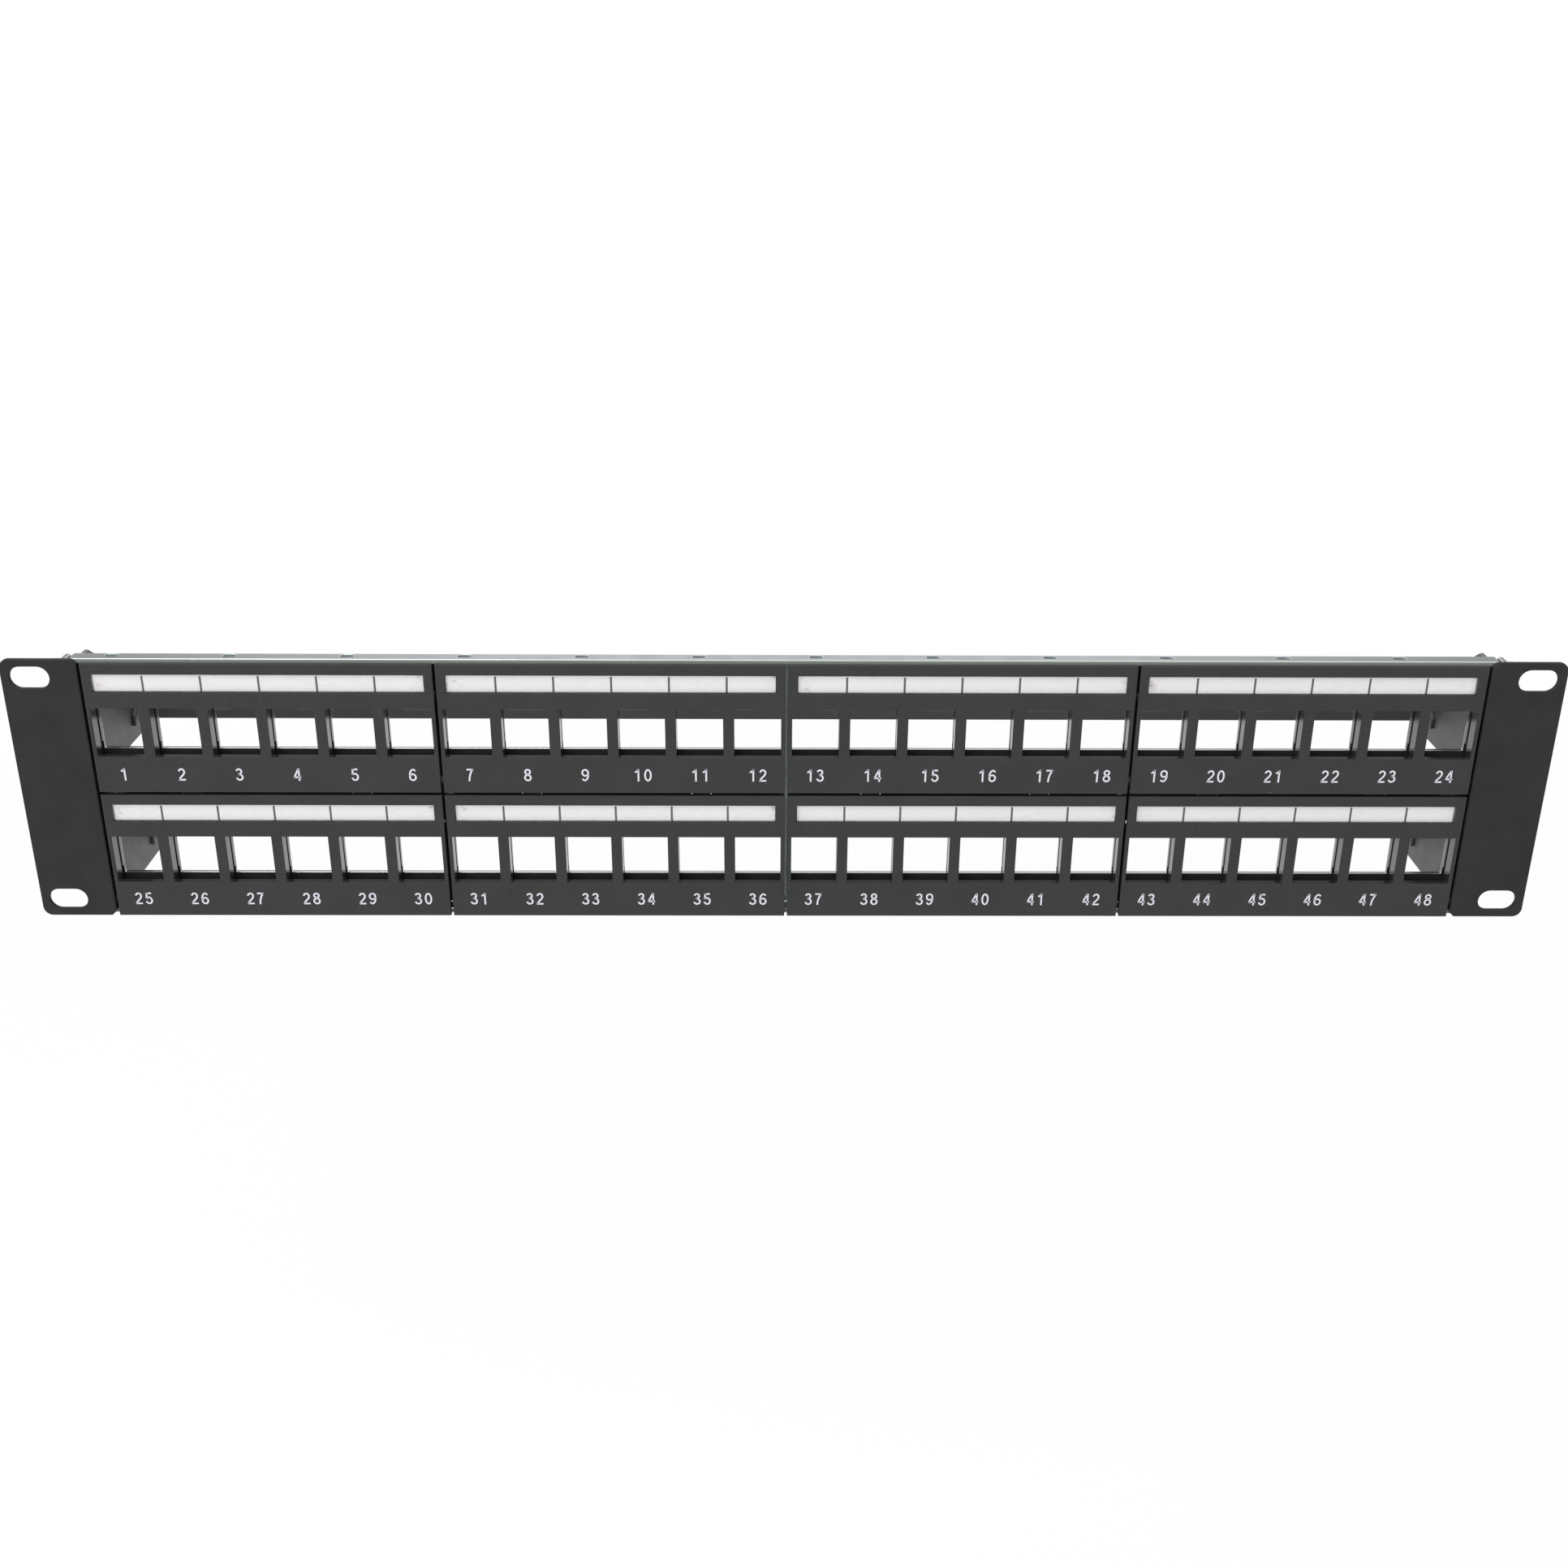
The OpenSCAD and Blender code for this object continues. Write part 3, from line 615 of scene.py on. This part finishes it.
for node in BEZELS:
    piece = rounded(node, node + "_moulding", BEZEL_EDGE, BEZEL_FINISHES,
                    choose=bezel_finish, rear_share=BEZEL_REAR_SHARE)
print("bezel faces", len(piece.data.polygons), "first depths", first_depths(piece))
for node in ("ear_left", "ear_right"):
    piece = rounded(node, node + "_coated", EAR_EDGE, [ear_coat])
print("ear faces", len(piece.data.polygons), "first depths", first_depths(piece))

# %% Frame, bars and arms
FLANGE_INSIDE = 42.2 * MM
FLANGE_FRONT = 1 * MM
WINDOWS_END = 212 * MM
FRAME_EDGE, FRAME_REAR_SHARE = 0.4 * MM, 0.5
BAR_EDGE = 0.3 * MM
ARM_EDGE = 0.2 * MM
FORWARD = -0.9
ROLLED, PUNCHED, CUT, SHADED_WEB = range(4)


def frame_finish(face):
    """The windows' walls in the flanges are punched, the flanges' front edges are cut, and the web's front gets the
    darker zinc, which is painted shade.
    """
    in_flange = abs(face.center.z) > FLANGE_INSIDE
    if face.center.y < FLANGE_FRONT:
        return CUT if face.normal.y < FORWARD else ROLLED
    if not in_flange:
        return SHADED_WEB if face.normal.y < FORWARD else ROLLED
    return PUNCHED if abs(face.normal.z) < 0.5 and abs(face.center.x) < WINDOWS_END else ROLLED


BARS = ("cable_bar_upper", "cable_bar_lower")
ARMS = ("arm_upper_left", "arm_upper_right", "arm_lower_left", "arm_lower_right")
FRAME_FINISHES = (frame_zinc, punched_zinc, cut_zinc, web_zinc_shaded)
piece = rounded("frame", "frame_sheet", FRAME_EDGE, FRAME_FINISHES,
                choose=frame_finish, rear_share=FRAME_REAR_SHARE)
print("frame faces", len(piece.data.polygons), "first depths", first_depths(piece))
for node in BARS:
    piece = rounded(node, node + "_painted", BAR_EDGE, [bar_paint])
print("bar faces", len(piece.data.polygons), "first depths", first_depths(piece))
for node in ARMS:
    piece = rounded(node, node + "_sheet", ARM_EDGE, [arm_zinc_shaded])
print("arm faces", len(piece.data.polygons), "first depths", first_depths(piece))

# %% Clear covers
LABELS = range(1, len(BEZELS) + 1)
COVER_EDGE = 0.12 * MM
COVER_AIR = 0.03 * MM
for i in LABELS:
    node = f"label_cover_{i}"
    piece = rounded(node, node + "_strip", COVER_EDGE, [clear_cover], air_behind=COVER_AIR)
print("cover faces", len(piece.data.polygons), "first depths", first_depths(piece))

# %% [markdown]
# ## Paper strips
# The strips are flat sheets with cut edges. A copy could be rounded as the other parts are, but paper is cut sharp, so
# the CAD shape is already right and only takes its finish.

# %% Dress the strips
for i in LABELS:
    strip = cad[f"label_{i}"].data
    strip.materials.clear()
    strip.materials.append(paper)
print("strips", len(LABELS), "finish", strip.materials[0].name)

# %% [markdown]
# ## Printed numbers
# The ports are numbered 1 to 24 along the upper row and 25 to 48 along the lower one, in a plain sans-serif face.
# Text objects could write them, but the built-in font has other figures, so each figure is drawn here as strokes
# along lines and arcs, with the height of the figure as 1. A ribbon of constant width follows each stroke, flat on
# the face and a hair in front of it.

# %% Figures as strokes
STROKE = 0.128


def arc(cx, cy, rx, ry, start, end, steps=14):
    turns = [math.radians(start + (end - start) * i / steps) for i in range(steps + 1)]
    return [(cx + rx * math.cos(t), cy + ry * math.sin(t)) for t in turns]


H = STROKE / 2
SIX = [arc(0.29, 0.31, 0.22, 0.31 - H, 0, 360, 24), arc(0.36, 0.46, 0.29, 0.54 - H, 182, 100, 10)
       + arc(0.31, 0.74, 0.18, 0.26 - H, 88, 15, 6)]
FIGURES = {
    "0": [arc(0.28, 0.5, 0.215, 0.5 - H, 0, 360, 28)],
    "1": [[(0.34, 0), (0.34, 1)], [(0.09, 0.74), (0.2, 0.8), (0.29, 0.89), (0.325, 0.97)]],
    "2": [arc(0.28, 0.71, 0.2, 0.29 - H, 172, -28, 12) + [(0.36, 0.45), (0.22, 0.31), (0.12, 0.18), (0.085, 0.07)],
          [(0.02, H), (0.53, H)]],
    "3": [arc(0.26, 0.755, 0.185, 0.245 - H, 168, -80, 14) + [(0.2, 0.55)],
          [(0.2, 0.55)] + arc(0.265, 0.29, 0.22, 0.29 - H, 82, -168, 16)],
    "4": [[(0.41, 0), (0.41, 1)], [(0.385, 0.96), (0.05, 0.3)], [(0.02, 0.29), (0.55, 0.29)]],
    "5": [[(0.13, 1 - H), (0.5, 1 - H)], [(0.155, 1), (0.095, 0.5)],
          arc(0.275, 0.325, 0.22, 0.325 - H, 140, -165, 18)],
    "6": SIX,
    "7": [[(0.03, 1 - H), (0.53, 1 - H)], [(0.49, 0.95), (0.37, 0.75), (0.28, 0.52), (0.22, 0.27), (0.195, 0)]],
    "8": [arc(0.28, 0.755, 0.185, 0.245 - H, 0, 360, 22), arc(0.28, 0.285, 0.22, 0.285 - H, 0, 360, 24)],
    "9": [[(0.57 - u, 1 - v) for u, v in stroke] for stroke in SIX],
}
print("figures", len(FIGURES))

# %% Ribbons on the face
PORTS = 48
PORTS_IN_ROW = 24
FIGURE_HEIGHT = 4.2 * MM
FIGURE_WIDTH = 0.56
FIGURE_STEP = 0.775
FIGURE_MIDDLE = 6.2 * MM
PORT_PITCH = 18.1 * MM
FACE = -1.6 * MM
PROUD = 0.02 * MM
CLOSED = 1e-6


def ribbon(bm, points, to_face):
    """A flat band along a stroke. On a closed stroke the ends look past each other, so that they meet squarely."""
    closed = (Vector(points[0]) - Vector(points[-1])).length < CLOSED
    rails = []
    for i, spot in enumerate(points):
        before = Vector(points[max(i - 1, 0)])
        after = Vector(points[min(i + 1, len(points) - 1)])
        if closed:
            before = Vector(points[i - 1] if i else points[-2])
            after = Vector(points[i + 1] if i < len(points) - 1 else points[1])
        run = (after - before).normalized()
        side = Vector((-run.y, run.x)) * STROKE / 2
        rails.append([bm.verts.new(to_face(Vector(spot) + s * side)) for s in (1, -1)])
    for (a, b), (c, d) in zip(rails, rails[1:]):
        bm.faces.new((a, b, d, c))


bm = bmesh.new()
for number in range(1, PORTS + 1):
    text = str(number)
    row, column = divmod(number - 1, PORTS_IN_ROW)
    middle = (column - (PORTS_IN_ROW - 1) / 2) * PORT_PITCH
    foot = ROW_FOOT[row] + FIGURE_MIDDLE - FIGURE_HEIGHT / 2
    for i, figure in enumerate(text):
        start = (i - len(text) / 2) * FIGURE_STEP + (FIGURE_STEP - FIGURE_WIDTH) / 2
        for stroke in FIGURES[figure]:
            ribbon(bm, stroke, lambda p: (middle + (start + p.x) * FIGURE_HEIGHT, FACE - PROUD,
                                          foot + p.y * FIGURE_HEIGHT))
for face in bm.faces:
    face.normal_update()
    if face.normal.y > 0:
        face.normal_flip()
number_mesh = bpy.data.meshes.new("port_numbers")
bm.to_mesh(number_mesh)
bm.free()
number_mesh.materials.append(number_ink)
port_numbers = bpy.data.objects.new("port_numbers", number_mesh)
scene.collection.objects.link(port_numbers)
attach(port_numbers, "panel")
print("faces in the numbers", len(number_mesh.polygons))

# %% [markdown]
# ## Rivets and screws
# Rivets hold the ears and the arms' feet, and screws hold the cable bars. They could be modelled one by one, but
# they repeat, so Geometry Nodes make them: one fastener is built from a disc whose top is drawn down into a dome, a
# shank and, for a screw, a cross cut out of the head. Copies stand on points that carry the direction of each
# fastener's head.

# %% The fastener's sockets
FASTENERS = bpy.data.node_groups.new("domed_fasteners", "GeometryNodeTree")
SOCKETS = (("Places", "Geometry"), ("Head radius", "Float"), ("Head height", "Float"), ("Shank radius", "Float"),
           ("Shank length", "Float"), ("Cross", "Bool"), ("Second head", "Bool"), ("Finish", "Material"))
for name, kind in SOCKETS:
    FASTENERS.interface.new_socket(name, in_out="INPUT", socket_type="NodeSocket" + kind)
FASTENERS.interface.new_socket("Fasteners", in_out="OUTPUT", socket_type="NodeSocketGeometry")
print("sockets of a fastener", len(SOCKETS))

# %% The fastener's head
DOME_POWER, DOME_DROP = 2.2, -0.6
BLADE_LENGTH, BLADE_WIDTH = 1.15, 0.2


def upwards(tree, height):
    return add(tree, "ShaderNodeCombineXYZ", {2: height}).outputs[0]


def moved(tree, mesh, by, **more):
    return add(tree, "GeometryNodeTransform", {"Geometry": mesh, "Translation": by, **more}).outputs[0]


def domed_head(tree, radius, height):
    disc = add(tree, "GeometryNodeMeshCylinder",
               {"Vertices": 36, "Fill Segments": 6, "Radius": radius, "Depth": height})
    spot = add(tree, "GeometryNodeInputPosition").outputs[0]
    x, y, z = add(tree, "ShaderNodeSeparateXYZ", {0: spot}).outputs
    out = maths(tree, "DIVIDE", maths(tree, "SQRT", maths(tree, "ADD", maths(tree, "MULTIPLY", x, x),
                                                          maths(tree, "MULTIPLY", y, y))), radius)
    drop = maths(tree, "MULTIPLY", maths(tree, "POWER", out, DOME_POWER), maths(tree, "MULTIPLY", height, DOME_DROP))
    on_top = maths(tree, "GREATER_THAN", z, 0.0)
    dome = add(tree, "GeometryNodeSetPosition", {
        "Geometry": disc.outputs[0], "Selection": on_top, "Offset": upwards(tree, drop)})
    return moved(tree, dome.outputs[0], upwards(tree, maths(tree, "MULTIPLY", height, 0.5)))


def cross_cut(tree, head, radius, height, wanted):
    long = maths(tree, "MULTIPLY", radius, BLADE_LENGTH)
    thin = maths(tree, "MULTIPLY", radius, BLADE_WIDTH)
    blades = [add(tree, "GeometryNodeMeshCube", {
        "Size": add(tree, "ShaderNodeCombineXYZ", {0: a, 1: b, 2: height}).outputs[0]}).outputs[0]
        for a, b in ((long, thin), (thin, long))]
    cutter = add(tree, "GeometryNodeMeshBoolean", operation="UNION")
    for blade in blades:
        tree.links.new(blade, cutter.inputs["Mesh 2"])
    placed = moved(tree, cutter.outputs[0], upwards(tree, height))
    crossed = add(tree, "GeometryNodeMeshBoolean", {"Mesh 1": head, "Mesh 2": placed}, operation="DIFFERENCE")
    return add(tree, "GeometryNodeSwitch", {"Switch": wanted, "False": head, "True": crossed.outputs[0]},
               input_type="GEOMETRY").outputs[0]


given = add(FASTENERS, "NodeGroupInput").outputs
head_size = given["Head radius"], given["Head height"]
head = domed_head(FASTENERS, *head_size)
shown = cross_cut(FASTENERS, head, *head_size, given["Cross"])
print("nodes in a head", len(FASTENERS.nodes))

# %% The fastener's shank
def shank_and_far_head(tree, head, radius, length, wanted):
    """A rivet has a second head, turned over, at the far end of its shank."""
    shank = add(tree, "GeometryNodeMeshCylinder",
                {"Vertices": 24, "Fill Segments": 2, "Radius": radius, "Depth": length})
    body = moved(tree, shank.outputs[0], upwards(tree, maths(tree, "MULTIPLY", length, -0.5)))
    far = upwards(tree, maths(tree, "MULTIPLY", length, -1.0))
    other = moved(tree, head, far, Rotation=(math.pi, 0, 0))
    second = add(tree, "GeometryNodeSwitch", {"Switch": wanted, "True": other}, input_type="GEOMETRY").outputs[0]
    return body, second


body, second = shank_and_far_head(FASTENERS, head, given["Shank radius"], given["Shank length"], given["Second head"])
whole = add(FASTENERS, "GeometryNodeJoinGeometry")
for part in (shown, body, second):
    FASTENERS.links.new(part, whole.inputs[0])
print("parts of a fastener", len(whole.inputs[0].links))

# %% Copies of the fastener
axis = add(FASTENERS, "GeometryNodeInputNamedAttribute", {"Name": "head_way"}, data_type="FLOAT_VECTOR").outputs[0]
aim = add(FASTENERS, "FunctionNodeAlignRotationToVector", {"Vector": axis}, axis="Z").outputs[0]
copies = add(FASTENERS, "GeometryNodeInstanceOnPoints",
             {"Points": given["Places"], "Instance": whole.outputs[0], "Rotation": aim})
real = add(FASTENERS, "GeometryNodeRealizeInstances", {"Geometry": copies.outputs[0]})
done = add(FASTENERS, "GeometryNodeSetMaterial", {"Geometry": real.outputs[0], "Material": given["Finish"]})
add(FASTENERS, "NodeGroupOutput", {0: done.outputs[0]})
print("nodes in the fastener tree", len(FASTENERS.nodes))

# %% A set of fasteners
CREASE = math.radians(35)


def fasteners(name, node, spots, **sizes):
    """spots are pairs of the place under the head and the way that the head looks."""
    mesh = bpy.data.meshes.new(name)
    mesh.from_pydata([spot for spot, _ in spots], [], [])
    ways = mesh.attributes.new("head_way", "FLOAT_VECTOR", "POINT")
    for item, (_, way) in zip(ways.data, spots):
        item.vector = way
    carrier = bpy.data.objects.new(name + "_places", mesh)
    scene.collection.objects.link(carrier)
    maker = carrier.modifiers.new("fasteners", "NODES")
    maker.node_group = FASTENERS
    sockets = {s.name: s.identifier for s in FASTENERS.interface.items_tree if s.in_out == "INPUT"}
    for label, value in sizes.items():
        maker[sockets[label.replace("_", " ")]] = value
    maker[sockets["Finish"]] = fastener_steel
    view = bpy.context.evaluated_depsgraph_get()
    done = bpy.data.meshes.new_from_object(carrier.evaluated_get(view))
    bpy.data.objects.remove(carrier)
    done.name = name
    done.shade_smooth()
    done.set_sharp_from_angle(angle=CREASE)
    piece = bpy.data.objects.new(name, done)
    scene.collection.objects.link(piece)
    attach(piece, "panel")
    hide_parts(node)
    print(name, "faces", len(done.polygons))


print("crease in degrees", round(math.degrees(CREASE)))

# %% Place the fasteners
SHEET = 1.6 * MM
FOOT_MIDDLE = 4.5 * MM
TAB_SCREW = (3 * MM, 3.4 * MM)
EAR_RIVET_Y = 2.4 * MM
EAR_RIVET_Z = 26 * MM
SIDES = (-1, 1)
frame_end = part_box("frame")[1]
ear_spots = [((s * (frame_end[0] - SHEET), EAR_RIVET_Y, z), (-s, 0, 0))
             for s in SIDES for z in (-EAR_RIVET_Z, 0, EAR_RIVET_Z)]
fasteners("ear_rivet_set", "ear_rivets", ear_spots, Head_radius=2.1 * MM, Head_height=0.6 * MM,
          Shank_radius=1.2 * MM, Shank_length=2 * SHEET, Cross=False, Second_head=False)
arm_spots = []
bar_spots = []
for node, bar in zip(ARMS, (BARS[0], BARS[0], BARS[1], BARS[1])):
    low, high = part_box(node)
    side = 1 if high[0] > 0 else -1
    inner, outer = sorted((abs(low[0]), abs(high[0])))
    for z in (low[2] + FOOT_MIDDLE, high[2] - FOOT_MIDDLE):
        arm_spots.append(((side * (inner + FOOT_MIDDLE), frame_end[1] - SHEET, z), (0, -1, 0)))
    bar_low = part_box(bar)[0]
    bar_spots.append(((side * outer, bar_low[1] + TAB_SCREW[0], bar_low[2] + TAB_SCREW[1]), (side, 0, 0)))
fasteners("arm_rivet_set", "arm_rivets", arm_spots, Head_radius=2.8 * MM, Head_height=0.6 * MM,
          Shank_radius=1.6 * MM, Shank_length=2.8 * MM, Cross=False, Second_head=True)
fasteners("bar_screw_set", "bar_screws", bar_spots, Head_radius=2.8 * MM, Head_height=1.6 * MM,
          Shank_radius=1.5 * MM, Shank_length=2.4 * MM, Cross=True, Second_head=False)

# %% [markdown]
# ## Measure and finish
# The finish is meant to leave the part's size as it is, so the finished box is measured against the CAD box and the
# growth is printed.

# %% Size and finish
new_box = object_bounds()
grown = [new_box[1][k] - new_box[0][k] - cad_box[1][k] + cad_box[0][k] for k in range(3)]
print("grown by mm", [round(g / MM, 3) for g in grown])
